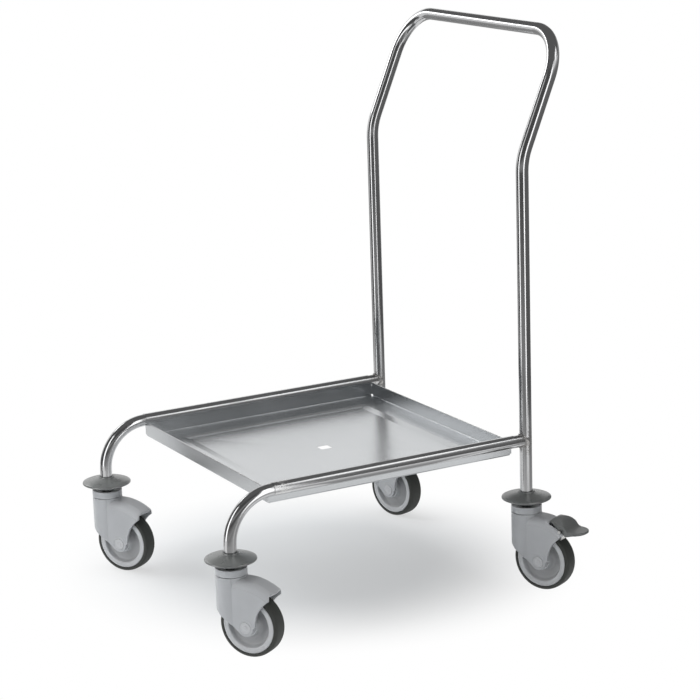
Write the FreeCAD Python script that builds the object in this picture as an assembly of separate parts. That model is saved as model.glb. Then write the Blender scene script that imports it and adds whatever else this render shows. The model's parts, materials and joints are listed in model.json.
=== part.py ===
import FreeCAD, Part
import math
import os

from FreeCAD import Vector

# Dishwasher rack trolley: bent tube frame, hung sheet tray and four swivel castors, two with brakes
# Millimetres and degrees. +Z is up, +X is the trolley's right, -Y its front and +Y its push handle.
# The origin is the middle of the tray floor, at the height of the floor's flat border.

# Driving dimensions of the tube frame
tube_diameter = 25.0
tube_wall = 1.5
track = 588.0                 # between the left and right tube axes
rail_rise = 30.0              # rail axis above the tray floor
leg_bend_radius = 92.0
leg_straight = 41.0           # front leg below its bend
bend_setback = 2.0            # start of the leg bend behind the tray's front face
tray_to_upright = 26.5        # rear face of the tray to the upright's axis
kink_rise = 600.0             # where the uprights start to lean, above the tray floor
kink_radius = 120.0
handle_lean = 23.0
handle_rise = 839.0           # push bar axis above the tray floor
handle_corner_radius = 92.0
weld_leg = 2.4

# Driving dimensions of the tray
tray_length = 551.0
sheet = 1.0
bend_inside = 2.0
end_wall_height = 29.5
hem_depth = 8.0
border_width = 52.0           # flat border, from the walls' inner faces
step_run = 17.0
step_drop = 2.0
drain_fall = 2.5              # from the foot of the step to the drain
drain_size = 25.0
drain_corner = 3.0
roll_end_angle = 35.0         # the rolled edge stops this far below the rail's outer side
roll_gap = 1.5                # end of the rolled edge to the start of the leg bend
tab_width = 40.0
corner_notch = 0.8

# Driving dimensions of the wheels
wheel_diameter = 125.0
tyre_width = 34.0
tread_depth = 8.0
tyre_shoulder = 6.0
rim_inset = 1.0               # side of the rim inside the tyre's side
rim_depth = 8.5
web_thickness = 9.0
web_slope = 4.0               # run of the slopes from the web to the rim and the hub
hub_overhang = 2.5            # end of the hub beyond the tyre's side
hub_wall = 5.0

# Driving dimensions of the forks
trail = 42.0
hub_gap = 0.5
spacer_length = 2.0
cheek_thickness = 5.0
head_overhang = 4.0           # round head beyond the flat cheeks
head_wall = 4.0
tyre_room = 5.0               # tyre to the underside of the head
bearing_ledge = 10.0
head_lip = 3.0
crown_radius = 110.0
crown_ahead = 9.0             # top of the crown ahead of the axle
crown_drop = 2.5              # top of the crown below the top of the head
crown_edge = 16.0
hood_thickness = 4.0
hood_reach = 55.0             # end of the hood behind the axle
tip_round = 5.0               # the hood's end is rounded over this run
front_edge_rise = 27.5        # front edge of the head above the axle
front_curve_rise = 34.0       # the head's front curves in over this height
front_curve_inset = 7.0
lip_ahead = 40.0              # corner of the cheek's lower edge ahead of the axle
lip_rise = 11.5
arch_radius = 65.0
arch_behind = 86.0            # arch centre behind the axle
arch_rise = 3.5
arch_rim = 6.0
arch_rim_rise = 1.0
boss_diameter = 34.0
boss_rise = 0.4

# Driving dimensions of the stems, bearings, axles and bumpers
stem_diameter = 14.0
stem_shoulder_diameter = 20.0
stem_shank_diameter = 10.0
stem_shank_length = 30.0
stem_flange_thickness = 1.5
stem_flange_overhang = 1.5
stem_nut_width = 19.0         # across flats
stem_nut_height = 8.0
nut_room = 2.0
swivel_gap = 0.6
collar_height = 13.9
collar_wall = 4.0
plug_length = 36.0
swivel_bearing_diameter = 40.0
swivel_bearing_width = 14.0
swivel_ball = 7.0
axle_diameter = 12.0
spacer_wall = 3.0
wheel_bearing_diameter = 28.0
wheel_bearing_width = 8.0
wheel_ball = 4.6
ball_spacing = 1.35           # ball pitch, in ball diameters
axle_cap_diameter = 23.0
axle_cap_thickness = 3.0
axle_cap_dome = 0.8
bumper_diameter = 101.0
bumper_lift = 1.2             # above the end of the tube
bumper_height = 25.8
bumper_edge_lift = 12.3       # middle of the rounded edge above the underside
bumper_edge_radius = 3.0
bumper_foot_diameter = 46.0
bumper_lip = 3.5
bumper_lip_height = 2.0

# Driving dimensions of the brakes
brake_pin_angle = 34.5        # brake pin behind the top of the wheel
brake_pin_diameter = 7.0
ear_radius = 10.5
braked_hood_sweep = 16.3      # end of the braked hood behind the crown's top
pedal_inset = 1.0             # side of the pedal inside the fork's side
pedal_gap = 1.2               # pedal cover to the fork's ears
pedal_hub_gap = 0.6           # pedal hub to the fork's cheeks
pedal_hub_radius = 10.0
hump_rise = 27.0              # pedal points are measured from the brake pin
hump_ahead = 10.0
hump_crown = 32.0             # radius of the hump across the pedal
heel_rise = 21.5
heel_behind = 4.0
valley_behind = 15.5
valley_rise = 6.0
toe_start = 24.0
toe_rise = 2.0
toe_reach = 49.5
toe_round = 22.0              # the toe's end is rounded over this run
toe_thickness = 5.0
sole_behind = 27.7
sole_drop = 4.5
sole_root_behind = 13.7
sole_root_drop = 8.6
shoe_width = 24.0
shoe_thickness = 4.0
shoe_reach = 22.0             # from the brake pin
shoe_gap = 0.6                # shoe to tyre with the brake pressed
shoe_root = 6.5
shoe_angle = 18.0             # shoe behind the line from the pin to the axle, with the brake off

# How each castor stands: its turn from +X towards +Y
front_left_turn = 32.0
front_right_turn = 33.0
rear_left_turn = 17.0
rear_right_turn = 26.0

# Clearances
running_fit = 0.05
seat_fit = 0.05
face_gap = 0.3

# Frame values worked out from the driving dimensions
tube_radius = tube_diameter / 2
side_x = track / 2
rear_y = tray_length / 2 + tray_to_upright
bend_start_y = bend_setback - tray_length / 2
front_y = bend_start_y - leg_bend_radius
leg_end_z = rail_rise - leg_bend_radius - leg_straight
handle_y = rear_y + (handle_rise - kink_rise) * math.tan(math.radians(handle_lean))

# Tray values worked out from the driving dimensions
roll_radius = tube_radius + seat_fit
side_outer = side_x - roll_radius
side_inner = side_outer - sheet
floor_x = side_inner - bend_inside
end_outer = tray_length / 2
end_inner = end_outer - sheet
floor_y = end_inner - bend_inside
roll_half = -bend_start_y - roll_gap

# Castor values worked out from the driving dimensions, with heights above the ground
wheel_radius = wheel_diameter / 2
tyre_half = tyre_width / 2
hub_half = tyre_half + hub_overhang
hub_radius = wheel_bearing_diameter / 2 + hub_wall
axle_radius = axle_diameter / 2
cheek_inside = hub_half + hub_gap + spacer_length
fork_half = cheek_inside + cheek_thickness
head_radius = fork_half + head_overhang
boss_radius = boss_diameter / 2
boss_face = fork_half + boss_rise
cap_seat = boss_face - axle_cap_thickness
swivel_bearing_radius = swivel_bearing_diameter / 2
head_floor = wheel_diameter + tyre_room
bearing_bottom = head_floor + bearing_ledge
bearing_top = bearing_bottom + swivel_bearing_width
fork_top = bearing_top + head_lip
collar_bottom = fork_top + swivel_gap
collar_top = collar_bottom + collar_height
leg_end_height = collar_top + stem_flange_thickness
ground = leg_end_z - leg_end_height
crown_x = trail - crown_ahead
crown_centre_z = fork_top - crown_drop - crown_radius
hood_end_x = trail + hood_reach
arch_x = trail + arch_behind
arch_z = wheel_radius + arch_rise
pin_distance = wheel_radius + shoe_reach + shoe_gap
pin_x = trail + pin_distance * math.sin(math.radians(brake_pin_angle))
pin_z = wheel_radius + pin_distance * math.cos(math.radians(brake_pin_angle))

CASTORS = {
    # name: (side, place along the trolley, turn, braked)
    "front_left": (-1, front_y, front_left_turn, False),
    "front_right": (1, front_y, front_right_turn, False),
    "rear_left": (-1, rear_y, rear_left_turn, True),
    "rear_right": (1, rear_y, rear_right_turn, True),
}

ORIGIN = Vector(0, 0, 0)
X_AXIS = Vector(1, 0, 0)
Y_AXIS = Vector(0, 1, 0)
Z_AXIS = Vector(0, 0, 1)
DIAGONAL = math.sqrt(0.5)


# Shape helpers

def joined(first, *others):
    """Fuse solids that share faces or overlap into one solid."""
    return first.fuse(list(others)).removeSplitter()


def box(low, high):
    """A box between two corners."""
    size = Vector(*high) - Vector(*low)
    return Part.makeBox(size.x, size.y, size.z, Vector(*low))


def rod(radius, start, end):
    """A straight round rod between two points."""
    run = end - start
    return Part.makeCylinder(radius, run.Length, start, run)


def ring(inner, outer, low, high):
    """A round sleeve on the Z axis."""
    return rod(outer, Z_AXIS * low, Z_AXIS * high).cut(rod(inner, Z_AXIS * low, Z_AXIS * high))


def outline(start, moves, place):
    """A face inside a closed outline; a move is its end point, or (through, end) for an arc."""
    edges = []
    here = place(*start)
    for move in moves + [start]:
        if isinstance(move[0], tuple):
            there = place(*move[1])
            edges.append(Part.Arc(here, place(*move[0]), there).toShape())
        else:
            there = place(*move)
            edges.append(Part.makeLine(here, there))
        here = there
    return Part.Face(Part.Wire(edges))


def turned(start, moves):
    """Revolve an outline of (radius, height) points about the Z axis."""
    return outline(start, moves, lambda radius, z: Vector(radius, 0, z)).revolve(ORIGIN, Z_AXIS, 360)


def side_prism(start, moves, half_width):
    """Extrude an outline of (x, z) points across Y, as far to both sides."""
    face = outline(start, moves, lambda x, z: Vector(x, -half_width, z))
    return face.extrude(Y_AXIS * (2 * half_width))


def frustum(low, high):
    """A block between two level rectangles about the Z axis, each (half_x, half_y, z)."""
    def corners(half_x, half_y, z):
        return [Vector(x * half_x, y * half_y, z) for x, y in ((-1, -1), (1, -1), (1, 1), (-1, 1))]
    lower = corners(*low)
    upper = corners(*high)
    loops = [lower, upper]
    for index in range(4):
        after = (index + 1) % 4
        loops.append([lower[index], lower[after], upper[after], upper[index]])
    faces = [Part.Face(Part.makePolygon(loop + loop[:1])) for loop in loops]
    return Part.makeSolid(Part.makeShell(faces))


def touch_point(outside, centre, radius, way):
    """Where a line from an outside point touches a circle, on one side of it or the other."""
    run_x = outside[0] - centre[0]
    run_z = outside[1] - centre[1]
    angle = math.atan2(run_z, run_x) + way * math.acos(radius / math.hypot(run_x, run_z))
    return centre[0] + radius * math.cos(angle), centre[1] + radius * math.sin(angle)


def tube_run(start, end):
    """A straight run of the frame's tube."""
    return rod(tube_radius, start, end).cut(rod(tube_radius - tube_wall, start, end))


def tube_bend(start, along, centre, axis, turn):
    """A bend of the frame's tube: its round section at a start point, turned about an axis."""
    def disc(radius):
        return Part.Face(Part.Wire(Part.makeCircle(radius, start, along)))
    section = disc(tube_radius).cut(disc(tube_radius - tube_wall))
    return section.revolve(centre, axis, math.degrees(turn))


def bent_tube(points, bends):
    """The frame's tube along straight runs, with a tangent bend at each inner point."""
    pieces = []
    start = points[0]
    for corner, after, bend in zip(points[1:-1], points[2:], bends):
        arriving = (corner - start).normalize()
        leaving = (after - corner).normalize()
        turn = arriving.getAngle(leaving)
        reach = bend * math.tan(turn / 2)
        bend_start = corner - arriving * reach
        axis = arriving.cross(leaving).normalize()
        centre = bend_start + axis.cross(arriving) * bend
        pieces.append(tube_run(start, bend_start))
        pieces.append(tube_bend(bend_start, arriving, centre, axis, turn))
        start = corner + leaving * reach
    pieces.append(tube_run(start, points[-1]))
    return joined(*pieces)


def ball_bearing(bore, diameter, width, ball, bottom):
    """Inner ring, outer ring and balls of a bearing on the Z axis, standing on a height."""
    pitch_radius = (bore + diameter) / 4
    half_slot = ball / 4
    middle = bottom + width / 2
    groove = Part.makeTorus(pitch_radius, ball / 2 + running_fit, Z_AXIS * middle, Z_AXIS)
    inner = ring(bore / 2, pitch_radius - half_slot, bottom, bottom + width).cut(groove)
    outer = ring(pitch_radius + half_slot, diameter / 2, bottom, bottom + width).cut(groove)
    count = int(2 * math.pi * pitch_radius / (ball_spacing * ball))
    balls = []
    for index in range(count):
        angle = 2 * math.pi * index / count
        spot = Vector(pitch_radius * math.cos(angle), pitch_radius * math.sin(angle), middle)
        balls.append(Part.makeSphere(ball / 2, spot))
    return [inner, outer] + balls


# Tube frame

def handle_tube():
    """Both rear uprights, leaning back above their kinks and joined by the push bar."""
    points = [
        Vector(-side_x, rear_y, leg_end_z),
        Vector(-side_x, rear_y, kink_rise),
        Vector(-side_x, handle_y, handle_rise),
        Vector(side_x, handle_y, handle_rise),
        Vector(side_x, rear_y, kink_rise),
        Vector(side_x, rear_y, leg_end_z),
    ]
    return bent_tube(points, [kink_radius, handle_corner_radius, handle_corner_radius, kink_radius])


def upright_bar(side, radius):
    """A round bar on an upright's axis, past both sides of its rail."""
    middle = Vector(side * side_x, rear_y, rail_rise)
    return rod(radius, middle - Z_AXIS * tube_diameter, middle + Z_AXIS * tube_diameter)


def rail_bar(side, radius):
    """A round bar on a rail's axis, up to the axis of its upright."""
    end = Vector(side * side_x, rear_y, rail_rise)
    return rod(radius, end - Y_AXIS * 2 * tube_diameter, end)


def side_rail(side):
    """One rail, notched round its upright and bent down into the front leg."""
    x = side * side_x
    points = [
        Vector(x, rear_y, rail_rise),
        Vector(x, front_y, rail_rise),
        Vector(x, front_y, leg_end_z),
    ]
    return bent_tube(points, [leg_bend_radius]).cut(upright_bar(side, tube_radius + seat_fit))


def rail_weld(side):
    """The weld bead in the corner between a rail and its upright."""
    reach = tube_radius + weld_leg
    inside = tube_radius + seat_fit
    bead = rail_bar(side, reach).common(upright_bar(side, reach))
    return bead.cut(rail_bar(side, inside)).cut(upright_bar(side, inside))


# Tray

def bend_arcs(edge):
    """Points half way round the inner and outer faces of a wall's bend, from the floor's edge."""
    inner = (edge + bend_inside * DIAGONAL, bend_inside - bend_inside * DIAGONAL)
    outside = bend_inside + sheet
    outer = (edge + outside * DIAGONAL, bend_inside - outside * DIAGONAL)
    return inner, outer


def end_wall(way):
    """The front or rear wall: bend, upright and closed hem."""
    inner_arc, outer_arc = bend_arcs(floor_y)
    hem_top = end_wall_height - sheet
    hem_inner = end_inner - sheet
    moves = [
        (inner_arc, (end_inner, bend_inside)),
        (end_inner, end_wall_height - hem_depth),
        (hem_inner, end_wall_height - hem_depth),
        (hem_inner, hem_top),
        ((end_inner, end_wall_height), (end_outer, hem_top)),
        (end_outer, bend_inside),
        (outer_arc, (floor_y, -sheet)),
    ]
    face = outline((floor_y, 0), moves, lambda y, z: Vector(-side_outer, way * y, z))
    return face.extrude(X_AXIS * 2 * side_outer)


def side_wall(side):
    """A side wall: bend, upright and the edge rolled over the rail."""
    inner_arc, outer_arc = bend_arcs(floor_x)
    def roll_point(radius, degrees):
        angle = math.radians(degrees)
        return side_x + radius * math.cos(angle), rail_rise + radius * math.sin(angle)
    moves = [
        (inner_arc, (side_inner, bend_inside)),
        (side_inner, rail_rise),
        (roll_point(roll_radius + sheet, 90), roll_point(roll_radius + sheet, -roll_end_angle)),
        roll_point(roll_radius, -roll_end_angle),
        (roll_point(roll_radius, 90), (side_outer, rail_rise)),
        (side_outer, bend_inside),
        (outer_arc, (floor_x, -sheet)),
    ]
    face = outline((floor_x, 0), moves, lambda x, z: Vector(side * x, -roll_half, z))
    return face.extrude(Y_AXIS * 2 * roll_half)


def tray_floor():
    """The floor: flat border, shallow step, then a fall to the square drain."""
    flat = (side_inner - border_width, end_inner - border_width, 0)
    foot = (flat[0] - step_run, flat[1] - step_run, -step_drop)
    low = -step_drop - drain_fall
    half = drain_size / 2
    dish = joined(frustum(foot, flat), frustum((half, half, low), foot))
    under = dish.copy()
    under.translate(Vector(0, 0, -sheet))
    drain = box((-half, -half, low - 2 * sheet), (half, half, 0))
    uprights = [edge for edge in drain.Edges if abs(edge.tangentAt(edge.FirstParameter).z) > DIAGONAL]
    drain = drain.makeFillet(drain_corner, uprights)
    plate = box((-floor_x, -floor_y, -sheet), (floor_x, floor_y, 0))
    return joined(plate, under).cut(dish).cut(drain)


def tray():
    """The folded pan, with notched corners and tabs lapped inside the end walls."""
    bend_top = bend_inside + sheet
    tab_top = end_wall_height - hem_depth - face_gap
    tab_face = end_inner - seat_fit
    notch_x = floor_x - corner_notch
    notch_y = floor_y - corner_notch
    pan = joined(tray_floor(), end_wall(-1), end_wall(1), side_wall(-1), side_wall(1))
    tabs = []
    for side in (-1, 1):
        for way in (-1, 1):
            def corner(x_span, y_span, z_span):
                xs = sorted(side * x for x in x_span)
                ys = sorted(way * y for y in y_span)
                return box((xs[0], ys[0], z_span[0]), (xs[1], ys[1], z_span[1]))
            pan = pan.cut(corner((notch_x, side_x), (notch_y, rear_y), (-2 * sheet, bend_top)))
            tabs.append(corner((side_inner, side_outer), (roll_half, tab_face), (bend_top, tab_top)))
            tab_span = (side_inner - tab_width, side_inner)
            tabs.append(corner(tab_span, (tab_face - sheet, tab_face), (bend_top, tab_top)))
    return joined(pan, *tabs)


# Castor, made about its swivel axis: the wheel trails along +X and Z = 0 is the ground

def axle_point(y):
    """A point on the wheel's axis."""
    return Vector(trail, y, wheel_radius)


def on_axle(shape):
    """Lay a shape made about the Z axis on the wheel's axis."""
    laid = shape.copy()
    laid.rotate(ORIGIN, X_AXIS, 90)
    laid.translate(axle_point(0))
    return laid


def bumper():
    """Soft round bumper on the tube, with a rounded edge."""
    bore = tube_radius + seat_fit
    bottom = leg_end_height + bumper_lift
    top = bottom + bumper_height
    edge_z = bottom + bumper_edge_lift
    edge_r = bumper_diameter / 2 - bumper_edge_radius
    lip = tube_radius + bumper_lip
    moves = [
        (bumper_foot_diameter / 2, bottom),
        (edge_r, edge_z - bumper_edge_radius),
        ((bumper_diameter / 2, edge_z), (edge_r, edge_z + bumper_edge_radius)),
        (lip, top - bumper_lip_height),
        (lip, top),
        (bore, top),
    ]
    return turned((bore, bottom), moves)


def tube_plug():
    """Plug in the end of the tube that holds the stem's shank."""
    outer = tube_radius - tube_wall - seat_fit
    return ring(stem_shank_diameter / 2 + seat_fit, outer, leg_end_height, leg_end_height + plug_length)


def stem():
    """Castor stem: shank in the plug, flange under the tube, shoulder and journal."""
    journal = stem_diameter / 2
    shoulder = stem_shoulder_diameter / 2
    shoulder_bottom = bearing_top + face_gap
    flange = tube_radius + stem_flange_overhang
    pieces = [
        rod(journal, Z_AXIS * (bearing_bottom - face_gap - stem_nut_height), Z_AXIS * shoulder_bottom),
        rod(shoulder, Z_AXIS * shoulder_bottom, Z_AXIS * collar_top),
        rod(flange, Z_AXIS * collar_top, Z_AXIS * leg_end_height),
        rod(stem_shank_diameter / 2, Z_AXIS * leg_end_height, Z_AXIS * (leg_end_height + stem_shank_length)),
    ]
    return joined(*pieces)


def stem_nut():
    """Six-sided nut that holds the bearing on the stem."""
    corner = stem_nut_width / math.sqrt(3)
    top = bearing_bottom - face_gap
    points = []
    for index in range(7):
        angle = math.pi * index / 3
        points.append(Vector(corner * math.cos(angle), corner * math.sin(angle), top - stem_nut_height))
    nut = Part.Face(Part.makePolygon(points)).extrude(Z_AXIS * stem_nut_height)
    return nut.cut(rod(stem_diameter / 2 + seat_fit, Z_AXIS * (top - stem_nut_height), Z_AXIS * top))


def collar():
    """Fixed cover over the swivel bearing, under the stem's flange."""
    bore = stem_shoulder_diameter / 2 + seat_fit
    plate_bottom = collar_top - collar_wall
    skirt = head_radius - collar_wall
    moves = [
        (bore, collar_top),
        (head_radius, collar_top),
        (head_radius, collar_bottom),
        (skirt, collar_bottom),
        (skirt, plate_bottom),
    ]
    return turned((bore, plate_bottom), moves)


def crown_point(degrees, radius):
    """A point (x, z) of the side view, at an angle behind the top of the crown."""
    angle = math.radians(degrees)
    return crown_x + radius * math.sin(angle), crown_centre_z + radius * math.cos(angle)


def hood(half_width, radius, edge):
    """Level from the swivel axis to the crown, then falling round it, with rounded upper edges."""
    top = crown_centre_z + radius
    flat = half_width - edge
    side_top = top - edge
    round_y = flat + edge * DIAGONAL
    round_z = side_top + edge * DIAGONAL
    def section(low):
        moves = [
            (half_width, low),
            (half_width, side_top),
            ((round_y, round_z), (flat, top)),
            (-flat, top),
            ((-round_y, round_z), (-half_width, side_top)),
        ]
        return outline((-half_width, low), moves, lambda y, z: Vector(crown_x, y, z))
    level = section(0).extrude(X_AXIS * -crown_x)
    falling = section(crown_centre_z).revolve(Vector(crown_x, 0, crown_centre_z), Y_AXIS, 90)
    return joined(level, falling)


def ear_top(hood_end):
    """Where the braked fork's upper edge meets the ear round the brake pin."""
    return touch_point(hood_end, (pin_x, pin_z), ear_radius, -1)


def fork_side_view(braked):
    """The fork's side view as a prism wider than the fork, open at the arch."""
    wide = 2 * head_radius
    high = fork_top + crown_edge
    lip = (trail - lip_ahead, wheel_radius + lip_rise)
    front_edge = wheel_radius + front_edge_rise
    curve_top = front_edge + front_curve_rise
    curve_middle = (front_curve_inset / 4 - head_radius, front_edge + front_curve_rise / 2)
    moves = [
        (-wide, curve_top),
        (-head_radius, curve_top),
        (curve_middle, (front_curve_inset - head_radius, front_edge)),
        lip,
        touch_point(lip, (trail, wheel_radius), boss_radius, 1),
        (trail + boss_radius, wheel_radius),
        (arch_x - arch_radius, arch_z),
    ]
    if braked:
        hood_end = crown_point(braked_hood_sweep, crown_radius)
        moves += [(pin_x, arch_z), (pin_x, pin_z), ear_top(hood_end), hood_end, (hood_end[0], high)]
    else:
        moves += [(hood_end_x, arch_z), (hood_end_x, high)]
    view = side_prism((-wide, high), moves, wide)
    if braked:
        view = view.fuse(rod(ear_radius, Vector(pin_x, -wide, pin_z), Vector(pin_x, wide, pin_z)))
    return view.cut(rod(arch_radius, Vector(arch_x, -wide, arch_z), Vector(arch_x, wide, arch_z)))


def fork_room(braked):
    """Space inside the fork for the wheel, and under the hood behind the bearing's housing."""
    front = rod(head_radius - head_wall, ORIGIN, Z_AXIS * head_floor)
    front = front.common(box((-head_radius, -cheek_inside, 0), (0, cheek_inside, head_floor)))
    beside = box((0, -cheek_inside, 0), (arch_x, cheek_inside, head_floor))
    housing = rod(swivel_bearing_radius + head_wall, Z_AXIS * head_floor, Z_AXIS * fork_top)
    under_hood = hood(cheek_inside, crown_radius - hood_thickness, crown_edge - hood_thickness).cut(housing)
    room = front.fuse([beside, under_hood])
    if braked:
        hood_end = crown_point(braked_hood_sweep, crown_radius)
        high = fork_top + crown_edge
        room = room.fuse(box((hood_end[0], -cheek_inside, 0), (arch_x, cheek_inside, high)))
    return room


def round_ended(half_width, start, reach, run, wide):
    """Upright prism over the castor with a rounded end, as wide as needed ahead of it."""
    corner = reach - run
    moves = [
        (corner, -wide),
        (corner, -half_width),
        ((reach, 0), (corner, half_width)),
        (corner, wide),
        (start, wide),
    ]
    return outline((start, -wide), moves, lambda x, y: Vector(x, y, 0)).extrude(Z_AXIS * 2 * fork_top)


def fork(braked):
    """Moulded fork: bearing head, hood, cheeks with raised arch rims, and axle bosses."""
    view = fork_side_view(braked)
    head = rod(head_radius, ORIGIN, Z_AXIS * fork_top)
    body = joined(head, hood(fork_half, crown_radius, crown_edge)).common(view).cut(fork_room(braked))
    crown_axis = Vector(crown_x, 0, crown_centre_z)
    across = Y_AXIS * boss_face
    flat_side = rod(crown_radius - crown_edge, crown_axis - across, crown_axis + across)
    for way in (-1, 1):
        side = Y_AXIS * way * fork_half
        arch_axis = Vector(arch_x, 0, arch_z) + side
        arch_band = rod(arch_radius + arch_rim, arch_axis, arch_axis + Y_AXIS * way * arch_rim_rise)
        boss = rod(boss_radius, axle_point(way * cheek_inside), axle_point(way * boss_face))
        spacer_end = way * (hub_half + hub_gap)
        spacer = rod(axle_radius + spacer_wall, axle_point(way * cheek_inside), axle_point(spacer_end))
        body = body.fuse([arch_band.common(view).common(flat_side), boss, spacer])
        cap_bore = axle_cap_diameter / 2 + seat_fit
        body = body.cut(rod(cap_bore, axle_point(way * cap_seat), axle_point(way * 2 * boss_face)))
    body = body.cut(rod(axle_radius + seat_fit, axle_point(-boss_face), axle_point(boss_face)))
    if not braked:
        body = body.common(round_ended(fork_half, -2 * head_radius, hood_end_x, tip_round, 2 * head_radius))
    if braked:
        pin = Vector(pin_x, 0, pin_z)
        pin_bore = brake_pin_diameter / 2 + seat_fit
        body = body.cut(rod(pin_bore, pin - Y_AXIS * boss_face, pin + Y_AXIS * boss_face))
    nut_hole = stem_nut_width / math.sqrt(3) + nut_room
    body = body.cut(rod(nut_hole, Z_AXIS * wheel_radius, Z_AXIS * fork_top))
    bearing_seat = rod(swivel_bearing_radius + seat_fit, Z_AXIS * bearing_bottom, Z_AXIS * collar_bottom)
    return body.cut(bearing_seat).removeSplitter()


def axle():
    """Axle across the fork, between its two caps."""
    half = cap_seat - face_gap
    return rod(axle_radius, axle_point(-half), axle_point(half))


def axle_caps():
    """The two domed caps over the axle's ends."""
    radius = axle_cap_diameter / 2
    top = cap_seat + axle_cap_thickness
    dome_top = top + axle_cap_dome
    sphere = (radius ** 2 + axle_cap_dome ** 2) / (2 * axle_cap_dome)
    half_way = math.asin(radius / sphere) / 2
    dome = (sphere * math.sin(half_way), dome_top - sphere + sphere * math.cos(half_way))
    cap = turned((0, cap_seat), [(radius, cap_seat), (radius, top), (dome, (0, dome_top))])
    other = cap.copy()
    other.rotate(ORIGIN, X_AXIS, 180)
    return [on_axle(cap), on_axle(other)]


def wheel_core():
    """Rim, web and hub, with a bearing seat at each end of the hub."""
    seat = wheel_bearing_diameter / 2 + seat_fit
    bore = axle_radius + spacer_wall
    rim_outer = wheel_radius - tread_depth - seat_fit
    rim_inner = rim_outer - rim_depth
    rim_half = tyre_half - rim_inset
    web_half = web_thickness / 2
    def half_outline(way):
        return [
            (bore, way * (hub_half - wheel_bearing_width)),
            (seat, way * (hub_half - wheel_bearing_width)),
            (seat, way * hub_half),
            (hub_radius, way * hub_half),
            (hub_radius + web_slope, way * web_half),
            (rim_inner - web_slope, way * web_half),
            (rim_inner, way * rim_half),
            (rim_outer, way * rim_half),
        ]
    upper = half_outline(1)
    return on_axle(turned(upper[0], upper[1:] + half_outline(-1)[::-1]))


def tyre():
    """Solid tyre with rounded shoulders."""
    inner = wheel_radius - tread_depth
    flat = tyre_half - tyre_shoulder
    low = wheel_radius - tyre_shoulder
    round_r = low + tyre_shoulder * DIAGONAL
    round_y = flat + tyre_shoulder * DIAGONAL
    moves = [
        (low, -tyre_half),
        ((round_r, -round_y), (wheel_radius, -flat)),
        (wheel_radius, flat),
        ((round_r, round_y), (low, tyre_half)),
        (inner, tyre_half),
    ]
    return on_axle(turned((inner, -tyre_half), moves))


def wheel_bearings():
    """The two ball bearings in the hub."""
    bore = axle_diameter + 2 * running_fit
    solids = []
    for bottom in (-hub_half, hub_half - wheel_bearing_width):
        solids += ball_bearing(bore, wheel_bearing_diameter, wheel_bearing_width, wheel_ball, bottom)
    return [on_axle(solid) for solid in solids]


def swivel_bearing():
    """The ball bearing in the fork's head."""
    bore = stem_diameter + 2 * running_fit
    return ball_bearing(bore, swivel_bearing_diameter, swivel_bearing_width, swivel_ball, bearing_bottom)


# Brake of the rear castors

def brake_pin():
    """Pin across the ears that the pedal turns on."""
    half = fork_half - face_gap
    return rod(brake_pin_diameter / 2, Vector(pin_x, -half, pin_z), Vector(pin_x, half, pin_z))


def brake_shoe():
    """Steel strip under the pedal that swings down onto the tyre."""
    half = shoe_thickness / 2
    strip = box((-half, -shoe_width / 2, -shoe_reach), (half, shoe_width / 2, -shoe_root))
    strip.rotate(ORIGIN, Y_AXIS, brake_pin_angle - shoe_angle)
    strip.translate(Vector(pin_x, 0, pin_z))
    return strip


def pedal_block(half_width):
    """The pedal's side view, across a width: hump over the ears, valley and toe."""
    hood_end = crown_point(braked_hood_sweep, crown_radius)
    front = (hood_end[0] + pedal_gap - pin_x, hood_end[1] + pedal_gap - pin_z)
    tip = toe_reach - toe_thickness / 2
    sole = toe_rise - toe_thickness
    valley_middle = ((valley_behind + toe_start) / 2, toe_rise + (valley_rise - toe_rise) / 4)
    def from_pin(x, z):
        return Vector(pin_x + x, -half_width, pin_z + z)
    moves = [
        ((-hump_ahead, hump_rise), (heel_behind, heel_rise)),
        (valley_behind, valley_rise),
        (valley_middle, (toe_start, toe_rise)),
        (tip, toe_rise),
        ((toe_reach, toe_rise - toe_thickness / 2), (tip, sole)),
        (sole_behind, -sole_drop),
        (sole_root_behind, -sole_root_drop),
        (0, 0),
    ]
    return outline(front, moves, from_pin).extrude(Y_AXIS * 2 * half_width)


def brake_pedal():
    """Foot pedal: a cover over both ears, a hub between them and the shoe's pocket."""
    wide = fork_half - pedal_inset
    narrow = cheek_inside - pedal_hub_gap
    pin = Vector(pin_x, 0, pin_z)
    hood_end = crown_point(braked_hood_sweep, crown_radius)
    ear = ear_top(hood_end)
    run = (ear[0] - hood_end[0], ear[1] - hood_end[1])
    lift = pedal_gap / math.hypot(*run)
    raised_ear = (ear[0] - lift * run[1], ear[1] + lift * run[0])
    raised_front = (raised_ear[0] - 2 * run[0], raised_ear[1] - 2 * run[1])
    ears = side_prism(raised_front, [raised_ear, (pin_x, pin_z), (raised_front[0], pin_z)], 2 * wide)
    ears = ears.fuse(rod(ear_radius + pedal_gap, pin - Y_AXIS * 2 * wide, pin + Y_AXIS * 2 * wide))
    cover = pedal_block(wide).cut(ears)
    hub = rod(pedal_hub_radius, pin - Y_AXIS * narrow, pin + Y_AXIS * narrow)
    reach = pin_x + toe_reach
    crown_axis = Vector(0, 0, pin_z + hump_rise - hump_crown)
    crown = rod(hump_crown, crown_axis, crown_axis + X_AXIS * reach)
    plan = round_ended(wide, 0, reach, toe_round, 2 * wide)
    pedal = joined(joined(cover, pedal_block(narrow)).common(crown).common(plan), hub)
    pedal = pedal.cut(rod(brake_pin_diameter / 2 + running_fit, pin - Y_AXIS * wide, pin + Y_AXIS * wide))
    return pedal.cut(brake_shoe())


# Assembly

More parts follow.
